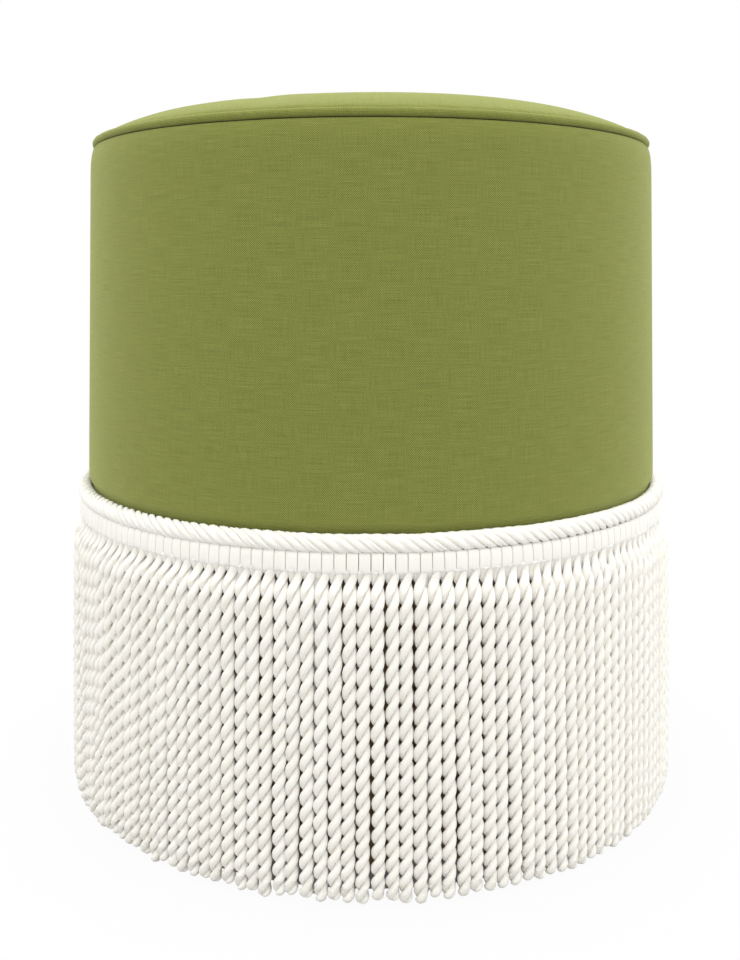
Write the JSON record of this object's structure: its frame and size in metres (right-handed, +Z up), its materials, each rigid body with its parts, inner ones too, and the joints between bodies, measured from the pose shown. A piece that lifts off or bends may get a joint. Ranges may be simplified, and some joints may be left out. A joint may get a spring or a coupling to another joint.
{
  "type": "tuffet",
  "caption": "Round drum-shaped upholstered stool with a domed cushioned top, piping round the rim and a long twisted bullion fringe to the floor.",
  "frame": {"origin": "on the floor, under the middle of the stool", "axes": "+Z up through the middle of the seat; +Y points away from the picture's camera"},
  "size_m": [0.4044, 0.4044, 0.436],
  "materials": {
    "plywood": "raw birch plywood",
    "softwood": "planed softwood",
    "bending_ply": "raw bending plywood",
    "screw_steel": "zinc plated",
    "foam": "open-cell upholstery foam",
    "wadding": "bonded polyester wadding",
    "linen": "slubby plain-weave linen, matt",
    "lining": "plain brown lining cloth",
    "dust_cloth": "black non-woven cloth",
    "glide_plastic": "moulded plastic",
    "cotton_cord": "soft-spun ivory cotton"
  },
  "bodies": {
    "root": {"base_board": "plywood", "base_screw_1": "screw_steel", "base_screw_2": "screw_steel", "base_screw_3": "screw_steel", "base_screw_4": "screw_steel", "base_screw_5": "screw_steel", "base_screw_6": "screw_steel", "dust_cloth": "dust_cloth", "fringe_01": "cotton_cord", "fringe_02": "cotton_cord", "fringe_03": "cotton_cord", "fringe_04": "cotton_cord", "fringe_05": "cotton_cord", "fringe_06": "cotton_cord", "fringe_07": "cotton_cord", "fringe_08": "cotton_cord", "fringe_09": "cotton_cord", "fringe_10": "cotton_cord", "fringe_11": "cotton_cord", "fringe_12": "cotton_cord", "fringe_cord": "cotton_cord", "glide_1": "glide_plastic", "glide_2": "glide_plastic", "glide_3": "glide_plastic", "glide_4": "glide_plastic", "lower_lining": "lining", "post_1": "softwood", "post_2": "softwood", "post_3": "softwood", "post_4": "softwood", "post_5": "softwood", "post_6": "softwood", "seat_foam": "foam", "seat_wadding": "wadding", "side_cover": "linen", "side_skin": "bending_ply", "side_wadding": "wadding", "top_board": "plywood", "top_cover": "linen", "top_screw_1": "screw_steel", "top_screw_2": "screw_steel", "top_screw_3": "screw_steel", "top_screw_4": "screw_steel", "top_screw_5": "screw_steel", "top_screw_6": "screw_steel", "welt": "linen"}
  },
  "joints": []
}
